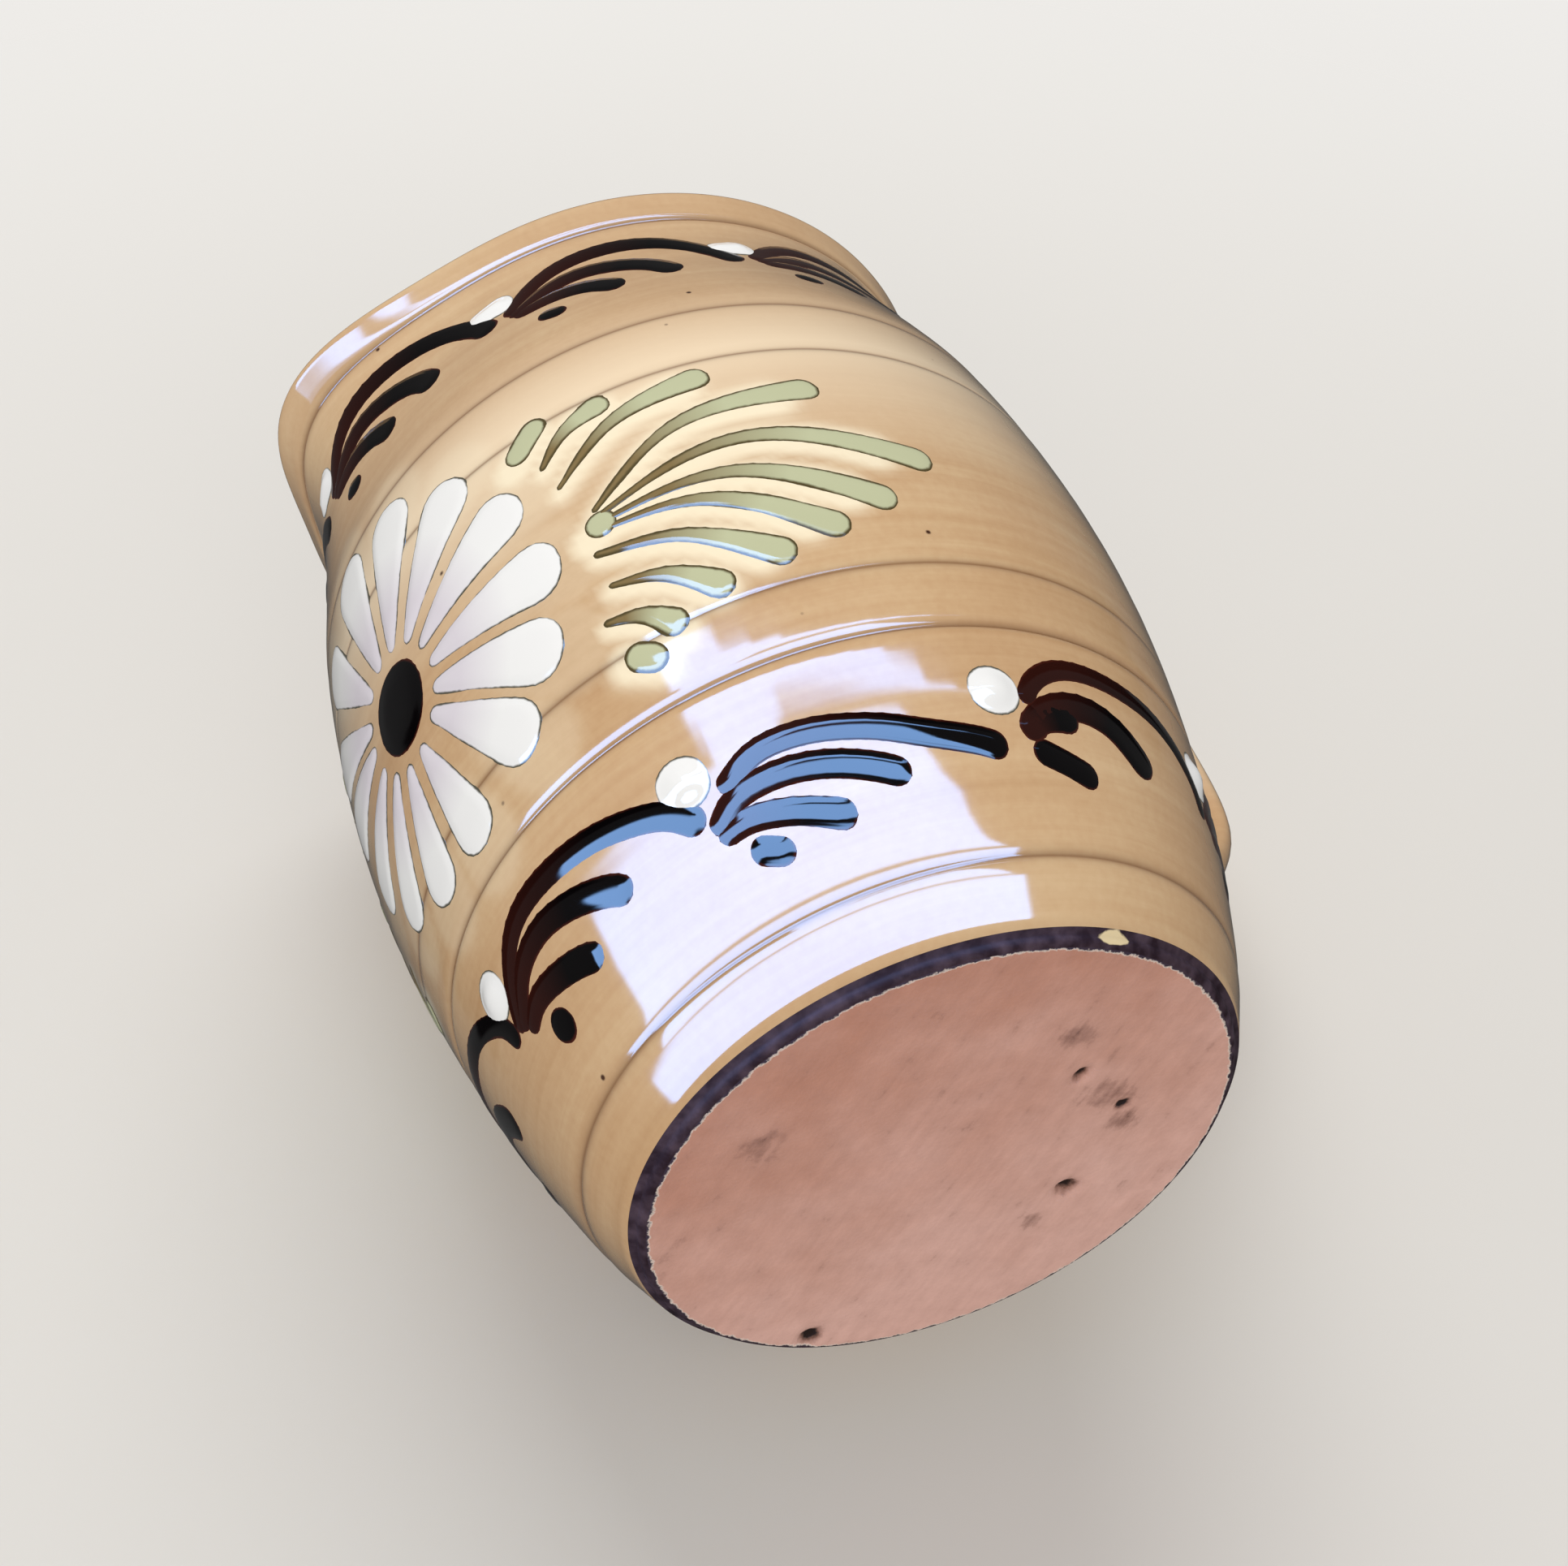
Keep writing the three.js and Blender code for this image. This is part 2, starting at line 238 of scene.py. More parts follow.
def makeGlazedClay():
    look = glazedClay
    material, tree = newMaterial("glazed earthenware")
    places = addPlaces(tree)
    height = addNode(tree, "ShaderNodeSeparateXYZ", {0: places}).outputs["Z"]

    # horizontal streaks left by the throwing and the brushed slip
    squash = addNode(tree, "ShaderNodeMapping", {
        0: places, "Scale": (look["streakScale"], look["streakScale"], 1 / look["streakHeight"])})
    streaks = addNoise(tree, squash.outputs[0], 1, detail=4, roughness=0.6)
    clouds = addNoise(tree, places, 1 / look["cloudSize"], detail=3)
    mottle = addNoise(tree, places, 1 / look["mottleSize"], detail=2)
    tone = addMath(tree, "ADD", streaks, clouds)
    tone = addMath(tree, "MULTIPLY_ADD", mottle, look["mottleShare"], tone)
    ground = addNode(tree, "ShaderNodeValToRGB", {0: addRange(tree, tone, look["toneRange"])})
    ramp = ground.color_ramp
    ramp.elements[0].color = linearColour(look["groundDeep"])
    ramp.elements[1].color = linearColour(look["groundPale"])
    ramp.elements.new(0.5).color = linearColour(look["ground"])

    # the shoulder is painted paler: painted light, as from a lamp above
    rising = addRange(tree, height, look["shoulderRise"])
    falling = addRange(tree, height, look["shoulderFall"], 1, look["shoulderLeft"])
    paler = addMath(tree, "MULTIPLY", rising, falling)
    colour = addTint(tree, paler, ground.outputs[0], linearColour(look["shoulderPaintedLight"]))

    # small iron specks
    grit = addNode(tree, "ShaderNodeTexVoronoi", {"Vector": places, "Scale": 1 / look["speckSize"]})
    rare = addNode(tree, "ShaderNodeTexWhiteNoise", {0: grit.outputs["Position"]}, noise_dimensions="3D")
    chosen = addMath(tree, "GREATER_THAN", rare.outputs[0], look["speckRarity"])
    dots = addRange(tree, grit.outputs["Distance"], look["speckRange"])
    colour = addTint(tree, addMath(tree, "MULTIPLY", chosen, dots), colour, linearColour(look["speck"]))

    # cream where the slips bleed into the glaze and, below each stroke, a painted lit band; brown where it
    # pools in a turned line
    for field, share, tint in (("slipHaloAndLitBand", "haloShare", "halo"), ("linePool", "poolShare", "pool")):
        amount = addMath(tree, "MULTIPLY", addField(tree, field), look[share])
        colour = addTint(tree, amount, colour, linearColour(look[tint]))

    # a poured glaze never lies quite flat, so its reflections waver
    waves = addNoise(tree, places, 1 / look["waveSize"], detail=2)
    bump = addNode(tree, "ShaderNodeBump", {
        "Height": waves, "Strength": look["waveStrength"], "Distance": look["waveDepth"] * mm})
    shader = addNode(tree, "ShaderNodeBsdfPrincipled", {
        "Base Color": colour, "Roughness": look["roughness"], "Normal": bump.outputs[0],
        "Specular IOR Level": look["bodyShine"],
        "Coat Weight": 1, "Coat Roughness": look["coatRoughness"], "Coat IOR": look["coatIor"],
        "Coat Normal": bump.outputs[0]})
    addNode(tree, "ShaderNodeOutputMaterial", {"Surface": shader.outputs[0]})
    return material


# Bare biscuit clay under the foot, sizes in mm: matt pinkish buff, browner towards the lip, wiped, smudged
# and pitted, with a pale chipped line where the dark wash of the foot begins. A layer of dirt is where it
# starts, where it is full, how much it covers and its colour
bareClay = {
    "ground": "#b97d62",
    "groundPale": "#dcad9d",
    "smudge": "#7d5546",
    "pit": "#2a1b17",
    "chip": "#e3d3c4",
    "edge": "#3a2730",
    "roughness": 0.85,
    "browner": (0.69, -0.72, 0),
    "brownRange": (40, -30),
    "toneRange": (0.4, 1.4),
    "cloudSize": 14,
    "grainSize": 0.5,
    "grainStrength": 0.5,
    "grainDepth": 0.15,
    "smudgeSize": 4,
    "wipeLength": 16,
    "wipeWidth": 1.2,
    "wipeTurn": -62,
    "wipeShare": 0.45,
    "markShare": 0.45,
    "dirt": ((0.5, 0.95, 0.24, "smudge"), (0.87, 1.18, 0.85, "smudge"), (1.12, 1.32, 1, "pit")),
    "edgeRadius": 34,
    "edgeSoft": 0.2,
    "edgeStarts": ((0.52, "chip"), (0.65, "edge")),
    "raggedScale": 0.7,
    "raggedReach": 1.6,
}


def makeBareClay():
    look = bareClay
    material, tree = newMaterial("bare clay")
    places = addPlaces(tree)
    clouds = addNoise(tree, places, 1 / look["cloudSize"], detail=5)
    lean = addNode(tree, "ShaderNodeVectorMath", {0: places, 1: look["browner"]}, operation="DOT_PRODUCT")
    paler = addRange(tree, lean.outputs["Value"], look["brownRange"])
    share = addRange(tree, addMath(tree, "ADD", clouds, paler), look["toneRange"])
    colour = addTint(tree, share, linearColour(look["ground"]), linearColour(look["groundPale"]))

    # smears and wipes gather round the marks left on the foot
    wiped = addNode(tree, "ShaderNodeMapping", {
        0: places, "Rotation": (0, 0, math.radians(look["wipeTurn"])),
        "Scale": (1 / look["wipeLength"], 1 / look["wipeWidth"], 1)})
    wipes = addNoise(tree, wiped.outputs[0], 1, detail=3)
    smears = addNoise(tree, places, 1 / look["smudgeSize"], detail=6, roughness=0.65)
    dirt = addMath(tree, "MULTIPLY_ADD", wipes, look["wipeShare"], smears)
    dirt = addMath(tree, "MULTIPLY_ADD", addField(tree, "footMarks"), look["markShare"], dirt)
    for start, full, most, tint in look["dirt"]:
        amount = addRange(tree, dirt, (start, full), 0, most)
        colour = addTint(tree, amount, colour, linearColour(look[tint]))

    # the ragged line where the wash begins
    flat = addNode(tree, "ShaderNodeVectorMath", {0: places, 1: (1, 1, 0)}, operation="MULTIPLY")
    radius = addNode(tree, "ShaderNodeVectorMath", {0: flat.outputs[0]}, operation="LENGTH").outputs["Value"]
    ragged = addNoise(tree, places, look["raggedScale"], detail=5, roughness=0.7)
    shift = addMath(tree, "MULTIPLY_ADD", ragged, look["raggedReach"], radius)
    for start, tint in look["edgeStarts"]:
        first = look["edgeRadius"] + start
        edge = addRange(tree, shift, (first, first + look["edgeSoft"]))
        colour = addTint(tree, edge, colour, linearColour(look[tint]))

    grain = addNoise(tree, places, 1 / look["grainSize"], detail=3)
    bump = addNode(tree, "ShaderNodeBump", {
        "Height": grain, "Strength": look["grainStrength"], "Distance": look["grainDepth"] * mm})
    shader = addNode(tree, "ShaderNodeBsdfPrincipled", {
        "Base Color": colour, "Roughness": look["roughness"], "Normal": bump.outputs[0]})
    addNode(tree, "ShaderNodeOutputMaterial", {"Surface": shader.outputs[0]})
    return material


# Dark wash brushed round the edge of the foot, sizes in mm: purplish brown, thin and satin, so it greys where
# a window strikes it, with a chip that shows the pale ground
footWash = {
    "thin": "#503f49",
    "thick": "#2a1a20",
    "chip": "#e2cda2",
    "roughness": 0.5,
    "shine": 0.15,
    "patchSize": 2.2,
    "patchRange": (0.35, 0.7),
    "tornShare": 0.5,
    "chipRange": (0.72, 0.82),
    "top": 1.5,
}


def makeFootWash():
    look = footWash
    material, tree = newMaterial("dark foot wash")
    patches = addNoise(tree, addPlaces(tree), 1 / look["patchSize"], detail=4)
    share = addRange(tree, patches, look["patchRange"])
    colour = addTint(tree, share, linearColour(look["thick"]), linearColour(look["thin"]))
    torn = addMath(tree, "MULTIPLY_ADD", patches, look["tornShare"], addField(tree, "footChip"))
    colour = addTint(tree, addRange(tree, torn, look["chipRange"]), colour, linearColour(look["chip"]))
    shader = addNode(tree, "ShaderNodeBsdfPrincipled", {
        "Base Color": colour, "Roughness": look["roughness"], "Specular IOR Level": look["shine"]})
    addNode(tree, "ShaderNodeOutputMaterial", {"Surface": shader.outputs[0]})
    return material


# Trailed slips under the same clear glaze. Colours by distance from the edge of the bead in mm: the glaze
# thins and darkens round each bead, and painted shade where the bead drops to the wall adds to it, so it has
# a fine outline, and the body of the slip shows inside it
slipLooks = {
    "dark_slip": {"name": "dark manganese slip", "edge": "#471a10", "body": "#040203", "tail": "#2c0f0a",
                  "outline": 0.1, "soft": 0.3},
    # the white slip's lavender-grey tail is painted shade near the petal roots
    "white_slip": {"name": "white slip", "edge": "#59564a", "body": "#f1f0ee", "tail": "#ddd6dc",
                   "outline": 0.2, "soft": 0.2},
    "green_slip": {"name": "pale green slip", "edge": "#554a2f", "body": "#c0c29e", "tail": "#84704a",
                   "outline": 0.3, "soft": 0.3},
}
slipFlow = {"fullRange": (0.25, 0.65), "waverScale": 0.9, "waverReach": 0.3, "waverMiddle": 0.15}


def makeSlip(slot):
    look = slipLooks[slot]
    material, tree = newMaterial(look["name"])
    # the tail colour near the root: thinner slip for the dark and green slip, painted shade for the white
    fuller = addRange(tree, addField(tree, "along"), slipFlow["fullRange"])
    body = addTint(tree, fuller, linearColour(look["tail"]), linearColour(look["body"]))
    # the outline colour at the bead's edge: pooled glaze and painted shade where the bead drops to the wall
    uneven = addNoise(tree, addPlaces(tree), slipFlow["waverScale"], detail=3)
    waver = addMath(tree, "MULTIPLY_ADD", uneven, slipFlow["waverReach"], addField(tree, "edge"))
    first = look["outline"] + slipFlow["waverMiddle"]
    inside = addRange(tree, waver, (first, first + look["soft"]))
    colour = addTint(tree, inside, linearColour(look["edge"]), body)
    shader = addNode(tree, "ShaderNodeBsdfPrincipled", {
        "Base Color": colour, "Roughness": glazedClay["roughness"], "Specular IOR Level": 0,
        "Coat Weight": 1, "Coat Roughness": glazedClay["coatRoughness"], "Coat IOR": glazedClay["coatIor"]})
    addNode(tree, "ShaderNodeOutputMaterial", {"Surface": shader.outputs[0]})
    return material


materials = {"glazed_clay": makeGlazedClay(), "bare_clay": makeBareClay(), "foot_wash": makeFootWash()}
for slipSlot in slipLooks:
    materials[slipSlot] = makeSlip(slipSlot)
print("materials made:", len(materials))


def finishPiece(piece, name, slot, *nodes):
    piece.name = name
    piece.data.name = name
    if not piece.data.materials:
        piece.data.materials.append(materials[slot])
    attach(piece, "root")
    if nodes:
        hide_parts(*nodes)


# a bead of trailed slip, mm: its stations and lanes, the last as shares of the half width, the fine outline
# round it, how it meets the wall, and how far its stations gather at the round ends
slipBead = {
    "stationLength": 1.0,
    "leastStations": 14,
    "gather": 0.12,
    "stride": 0.2,
    "lanes": (0, 0.02, 0.06, 0.11, 0.17, 0.25, 0.36, 0.5, 0.72),
    "outline": 0.35,
    "sink": 0.02,
    "ramp": 0.14,
    "backing": 0.5,
    "weld": 0.004,
}


def edgeDistance(points, loop):
    start, end = loop, np.roll(loop, -1, 0)
    run = end - start
    length = np.maximum((run ** 2).sum(1), tinyLength ** 2)
    t = np.clip(((points[:, None] - start) * run).sum(2) / length, 0, 1)
    return np.linalg.norm(points[:, None] - start - t[..., None] * run, axis=2).min(1)


def layStroke(points, halfTail, halfHead, relief, shoulder, toWall, swell=1.0, fullFrom=0.0):
    look = slipBead
    outline = look["outline"]
    path, reach = smoothPath(points)
    length = reach[-1]
    fromEdge = np.array(look["lanes"])
    across = np.concatenate((fromEdge - 1, [0], 1 - fromEdge[::-1]))
    alongCount = max(look["leastStations"], round(length / look["stationLength"]))
    bead = addGrid("stroke", alongCount, len(across) - 1)
    grid = readPoints(bead.data)
    t = grid[:, 0] + 0.5
    lane = across[np.round((grid[:, 1] + 0.5) * (len(across) - 1)).astype(int)]

    # stations gather at the round ends
    full = length + 2 * outline
    station = full * (t - look["gather"] * np.sin(2 * math.pi * t)) - outline
    share = np.clip(station / length, 0, 1)
    half = halfTail + (halfHead - halfTail) * share ** swell + outline
    for gap, end in ((station + outline, halfTail), (length + outline - station, halfHead)):
        half = half * np.sqrt(1 - (1 - np.clip(gap / (end + outline), 0, 1)) ** 2)
    spine = placeAt(station, path, reach)
    stride = min(look["stride"], length / 4)
    here = np.clip(station, stride, length - stride)
    ahead = placeAt(here + stride, path, reach) - placeAt(here - stride, path, reach)
    ahead /= np.linalg.norm(ahead, axis=1, keepdims=True)
    spine += ahead * (station - np.clip(station, 0, length))[:, None]
    flat = spine + np.stack((-ahead[:, 1], ahead[:, 0]), 1) * (lane * half)[:, None]

    # the bead rises from its outline with a round shoulder to a level top
    left = flat[(lane == -1)][np.argsort(station[lane == -1], kind="stable")]
    right = flat[(lane == 1)][np.argsort(-station[lane == 1], kind="stable")]
    edge = edgeDistance(flat, np.concatenate((left, right)))
    climb = np.clip((edge - outline / 2) / shoulder, 0, 1)
    lift = look["ramp"] * np.minimum(edge, outline) - look["sink"] + relief * easeStep(climb)
    angle, z = toWall(flat)
    writePoints(bead.data, offWall(angle, z, lift) * mm)
    writeAttribute(bead.data, "edge", edge)
    writeAttribute(bead.data, "along", np.maximum(share, fullFrom))

    bpy.ops.object.mode_set(mode="EDIT")
    bpy.ops.mesh.select_all(action="SELECT")
    bpy.ops.mesh.remove_doubles(threshold=look["weld"] * mm)
    bpy.ops.object.mode_set(mode="OBJECT")
    backing = bead.modifiers.new("backing", "SOLIDIFY")
    backing.thickness = look["backing"] * mm
    backing.offset = -1
    bpy.ops.object.modifier_apply(modifier=backing.name)
    bpy.ops.object.shade_smooth()
    return bead


def layBlob(centre, drift, half, relief, shoulder, toWall):
    # a short drop of slip, as long as its drift plus its own width
    centre, drift = np.array(centre, float), np.array(drift, float)
    reach = drift / 2 + drift / np.linalg.norm(drift) * half
    return layStroke([centre - reach, centre + reach], half, half, relief, shoulder, toWall, fullFrom=1.0)


def joinStrokes(strokes):
    bpy.ops.object.select_all(action="DESELECT")
    for stroke in strokes:
        stroke.select_set(True)
    bpy.context.view_layer.objects.active = strokes[0]
    if len(strokes) > 1:
        bpy.ops.object.join()
    return bpy.context.active_object


# running scrolls, drawn from each dot: a bow, two fingers and a drop, as points in mm to the right of the
# dot and up, with the half width of the bead
lowerScrolls = (
    {"bow": [(0.9, -5.6), (4.3, -1.2), (8.2, 1.4), (12, 2.3), (18.5, 2.1), (25.5, 0.8), (32, -1.7),
             (35.4, -5)],
     "bowHalf": 1.45,
     "fingers": [[(1.4, -5.8), (6.7, -2.1), (12.2, -1.2), (17.9, -2.4), (23.4, -5), (24.6, -6.4)],
                 [(2.4, -6.8), (6.2, -5.8), (12.2, -6.8), (16.6, -8.4), (17.6, -9.2)]],
     "fingerHalf": 1.55, "drop": [(7.4, -10.1), (0.3, -0.2)], "dropHalf": 1.7},
    {"bow": [(3.4, -2.8), (7.9, -0.6), (13.3, -0.5), (19.9, -2), (26.4, -4.4), (32, -6), (34.6, -7)],
     "bowHalf": 1.6,
     "fingers": [[(0.9, -6.6), (4.2, -4.3), (9.3, -3.8), (14.6, -4.8), (19.6, -6.8), (22.6, -8.5)],
                 [(1, -7.4), (4.5, -7), (8.8, -8), (12.6, -9.6), (15.4, -10.9)]],
     "fingerHalf": 1.6, "drop": [(5.5, -10.9), (1.6, -0.8)], "dropHalf": 1.4},
    {"bow": [(3.3, -1.2), (5.2, 1.2), (8, 3), (11.6, 3.8), (18.1, 3.5), (26.5, 1.8), (33, -1.9),
             (34.8, -5.8)],
     "bowHalf": 1.2,
     "fingers": [[(3.2, -5.4), (5.4, -2.4), (10.4, -1), (15.2, -2), (19, -5), (20.6, -7)],
                 [(2.6, -5.6), (4.4, -3.4), (7, -2.6), (10, -2.6)]],
     "fingerHalf": 2.1, "drop": [(6.8, -8.4), (5, -2)], "dropHalf": 1.5},
)
upperScrolls = (
    {"bow": [(1.6, -4), (4.6, -0.2), (8.6, 2.2), (13, 3.2), (20, 3), (25.3, 1.2), (29.6, -2), (31.4, -5)],
     "bowHalf": 1.6,
     "fingers": [[(1.8, -4.6), (9.6, -1.2), (15.3, -1.6), (20.1, -4), (22.8, -7.4)],
                 [(2.2, -5), (8.3, -4.8), (12.4, -6), (15.6, -8.4)]],
     "fingerHalf": 1.8, "drop": [(6.5, -9.2), (0.8, -0.3)], "dropHalf": 1.2},
    {"bow": [(1.4, -4.8), (5.2, -0.6), (9.6, 1.2), (14.9, 1.4), (21.7, -0.2), (27.3, -3), (30.8, -6.4)],
     "bowHalf": 1.6,
     "fingers": [[(1.6, -5.2), (8.8, -2.8), (15.4, -4.2), (22.4, -8)],
                 [(1.8, -5.8), (8.2, -6.6), (14.6, -10)]],
     "fingerHalf": 1.8, "drop": [(5.6, -10.4), (0.8, -0.5)], "dropHalf": 1.2},
)
slipBands = (
    {"name": "lower", "scrolls": lowerScrolls, "dotHeight": footLine + 18.5, "pitch": 45.0, "phase": -11.6,
     "dots": 8, "dot": [(-2.9, 0), (2.9, 0.1)], "dotHalves": (2.8, 2.8), "order": (0, 1, 2, 0, 1, 2, 0, 2)},
    {"name": "upper", "scrolls": upperScrolls, "dotHeight": shoulderLine + 20, "pitch": 42.0, "phase": -132.5,
     "dots": 8, "dot": [(-3.8, -0.5), (2.7, 0.2)], "dotHalves": (1.1, 2.3), "order": (1, 0, 1, 0, 0, 0, 1)},
)
slipSizes = {"dotRelief": 0.7, "dotShoulder": 2.8, "dotSwell": 0.7, "darkRelief": 0.12, "darkShoulder": 1.1,
             "darkSwell": 0.5, "rootHalf": 1.0}


def layBand(band):
    radius = float(wallRadius(band["dotHeight"]))
    sizes = slipSizes
    for unit in range(band["dots"]):
        turn = math.radians(band["phase"] + band["pitch"] * unit)

        def toWall(flat, turn=turn):
            return turn + flat[:, 0] / radius, band["dotHeight"] + flat[:, 1]

        def layDark(points, half, toWall=toWall):
            return layStroke(points, sizes["rootHalf"], half, sizes["darkRelief"], sizes["darkShoulder"],
                             toWall, sizes["darkSwell"])

        dot = layStroke(band["dot"], *band["dotHalves"], sizes["dotRelief"], sizes["dotShoulder"], toWall,
                        sizes["dotSwell"], 1.0)
        number = unit + 1
        finishPiece(dot, f"{band['name']}Dot{number}", "white_slip", f"{band['name']}_dot_{number}")
        if unit < len(band["order"]):
            drawing = band["scrolls"][band["order"][unit]]
            strokes = [layDark(drawing["bow"], drawing["bowHalf"])]
            strokes += [layDark(finger, drawing["fingerHalf"]) for finger in drawing["fingers"]]
            scroll = joinStrokes(strokes)
            finishPiece(scroll, f"{band['name']}Scroll{number}", "dark_slip",
                        f"{band['name']}_scroll_{number}")
            drop = layBlob(*drawing["drop"], drawing["dropHalf"], sizes["darkRelief"], sizes["darkShoulder"],
                           toWall)
            finishPiece(drop, f"{band['name']}Drop{number}", "dark_slip")


for slipBand in slipBands:
    layBand(slipBand)
print("scroll bands laid")


# daisy, mm, drawn flat about its centre: the petals that point up are longer than those that point down, and
# each has its own girth, length and turn in degrees
daisy = {
    "phase": -5.0,
    "inner": 7.6,
    "reach": 26.8,
    "stretchUp": 2.0,
    "halfWidth": 4.4,
    "rootHalf": 0.6,
    "swell": 0.9,
    "relief": 0.16,
    "shoulder": 1.2,
    "centreHalf": 5.3,
    "centreDrift": (0.1, 0.4),
    "centreRelief": 0.25,
    "centreShoulder": 2.4,
    "halo": 0.25,
    "girths": (1.06, 1.03, 1.03, 1.06, 1.08, 1.02, 0.96, 1, 0.95, 0.9, 0.95, 0.94, 1.02, 1.06),
    "longer": (1.5, 0.4, 0, 0.4, 1, 0.6, 0, -0.6, 0, 0.5, 0, 0, 1.2, 1.7),
    "turned": (0, 0, 0, 0, -1, 0, 2, -2, 0, 0, 0, 0, 5, 2),
}
haloStrokes = []


def onBelly(flat):
    return flat[:, 0] / bellyRadius, daisyHeight + flat[:, 1]


def layDaisy():
    look = daisy
    centre = layBlob((0, 0), look["centreDrift"], look["centreHalf"], look["centreRelief"],
                     look["centreShoulder"], onBelly)
    finishPiece(centre, "daisyCentre", "dark_slip", "daisy_centre")
    count = len(look["girths"])
    for petal in range(count):
        angle = math.radians(look["phase"] + look["turned"][petal] + 360 * petal / count)
        ray = np.array((math.cos(angle), math.sin(angle)))
        tip = look["reach"] + look["longer"][petal] + look["stretchUp"] * ray[1]
        points = [ray * look["inner"], ray * tip]
        half = look["halfWidth"] * look["girths"][petal]
        haloStrokes.append((points, look["rootHalf"], half, look["halo"]))
        bead = layStroke(points, look["rootHalf"], half, look["relief"], look["shoulder"], onBelly,
                         look["swell"])
        finishPiece(bead, f"petal{petal + 1}", "white_slip", f"petal_{petal + 1}")


layDaisy()
print("daisy laid")


# fern sprays, mm from the hub of the spray: each stroke runs from a thin tail to a round head. The cream
# halo, in part slip bleeding into the glaze and in part a painted lit band below the stroke, follows the
# first share of a stroke, read at every few points
fern = {
    "hub": 33.6,
    "drop": 1.2,
    "tailHalf": 0.25,
    "headHalf": 2.0,
    "relief": 0.12,
    "shoulder": 1.0,
    "swell": 1.3,
    "fan": [[(0, 2), (12, 9.6), (30, 11.6)], [(0, 1), (18.5, 4.6), (39.6, -2)],
            [(0, 0), (16, -0.4), (32.6, -8.8)], [(0, -1), (12, -3.2), (25.6, -12.2)]],
    "singles": [[(-3.5, 12.6), (0.5, 16.6), (6.6, 18.6)], [(-2.6, 8.1), (6, 14.4), (18.5, 17.2)],
                [(-1.8, -3.9), (8, -7), (18.5, -14.4)], [(-1.8, -8.8), (4.6, -11), (10.6, -16.1)],
                [(-4, -13), (0.4, -14.6), (4, -18.2)]],
    "drops": [[(-6.6, 16.4), (-1.6, 21)], [(-3.4, -18.2), (0.6, -20.8)]],
    "dropHalf": 1.6,
    "root": [(-1.4, -0.9), (1.8, 0.5)],
    "rootHalf": 1.7,
    "halo": 1.0,
    "haloShare": 0.85,
    "haloEvery": 8,
}


def laySpray(side, mirror):
    look = fern

    def stroke(points, tailHalf=look["tailHalf"], headHalf=look["headHalf"], fullFrom=0.0):
        placed = [(mirror * (look["hub"] + x), y - look["drop"]) for x, y in points]
        path, reach = smoothPath(placed)
        haloPath = path[reach < look["haloShare"] * reach[-1]][::look["haloEvery"]]
        haloStrokes.append((haloPath, tailHalf, headHalf, look["halo"]))
        return layStroke(placed, tailHalf, headHalf, look["relief"], look["shoulder"], onBelly, look["swell"],
                         fullFrom)

    strokes = [stroke(points) for points in look["fan"]]
    fan = joinStrokes(strokes + [stroke(look["root"], look["rootHalf"], look["rootHalf"], 1.0)])
    finishPiece(fan, f"{side}FernFan", "green_slip", f"{side}_fern_fan")
    for number, points in enumerate(look["singles"], 1):
        finishPiece(stroke(points), f"{side}Fern{number}", "green_slip", f"{side}_fern_{number}")
    for number, points in enumerate(look["drops"], 1):
        bead = stroke(points, look["dropHalf"], look["dropHalf"], 1.0)
        finishPiece(bead, f"{side}FernDrop{number}", "green_slip")


laySpray("right", 1)
laySpray("left", -1)
print("ferns laid")


# the body, mm: turned lines as height, depth and the width of their lower and upper flank, throwing waves as
# size, length and start, then the hollow, the collar, the fineness of the mesh, the halo and the wear of the
# foot. A chip is its turn in degrees, half width, height and rise, a pit its place, size and depth
jugBody = {
    "lines": ((footLine, 0.24, 0.55, 0.55), (lowerLine, 0.36, 0.35, 0.5), (44, 0.09, 0.5, 0.5),
              (82, 0.14, 0.4, 0.35), (shoulderLine, 0.09, 0.4, 0.6), (neckLine, 0.3, 0.4, 0.3)),
    "throwing": ((0.006, 5.3, 0.4), (0.004, 3.4, 1.9), (0.01, 8.7, 0.9)),
    "settle": 3,
    "floor": 7,
    "floorFillet": 8,
    "footRound": 1.2,
    "collarRadius": 44.4,
    "collarLean": 0.2,
    "collarRound": 0.6,
    "rimEdge": 1.2,
    "rimTop": 126.8,
    "step": 1.2,
    "lineStep": 0.25,
    "lineRows": 8,
    "innerStep": 3,
    "footRings": 42,
    "toePoints": 6,
    "rimPoints": 7,
    "bendPoints": 9,
    "segments": 320,
    "weld": 0.002,
    "poolFall": 1.3,
    "haloReach": 1.4,
    # the sag moves the halo below each stroke, where it is a painted lit band
    "litBandSag": 0.9,
    "haloSteps": 8,
    "daisyClear": 13,
    "daisyFade": 9,
    "outsideFrom": 0.3,
    "undersideTop": 0.01,
    "bareTop": 0.1,
    "chip": (90, 2.6, 0.9, 0.7),
    "pits": ((15.5, 9, 0.9, 1.2), (-3.4, 19.7, 1.3, 1.6), (-32.2, 0.3, 1.5, 0.9), (11.5, 17.5, 0.8, 0.5)),
    "pitMark": 1.9,
    "smudgeMark": 0.75,
    "smudges": ((21.5, 4.2, 2.4), (12, 14.5, 3.4), (8.9, 19, 2.2), (-9.4, 18.3, 1.8), (1, -25, 2.2)),
}


def lineCut(z, depths=True):
    cut = np.zeros_like(z)
    for height, depth, below, above in jugBody["lines"]:
        cut += (depth if depths else 1) * np.exp(-np.abs(z - height) / np.where(z < height, below, above))
    return cut


def throwing(z):
    return sum(size * np.sin(2 * math.pi * z / length + start) for size, length, start in jugBody["throwing"])


def arcPoints(centre, radius, fromAngle, toAngle, count):
    turn = np.linspace(math.radians(fromAngle), math.radians(toAngle), count)
    return np.stack((centre[0] + radius * np.cos(turn), centre[1] + radius * np.sin(turn)), 1)


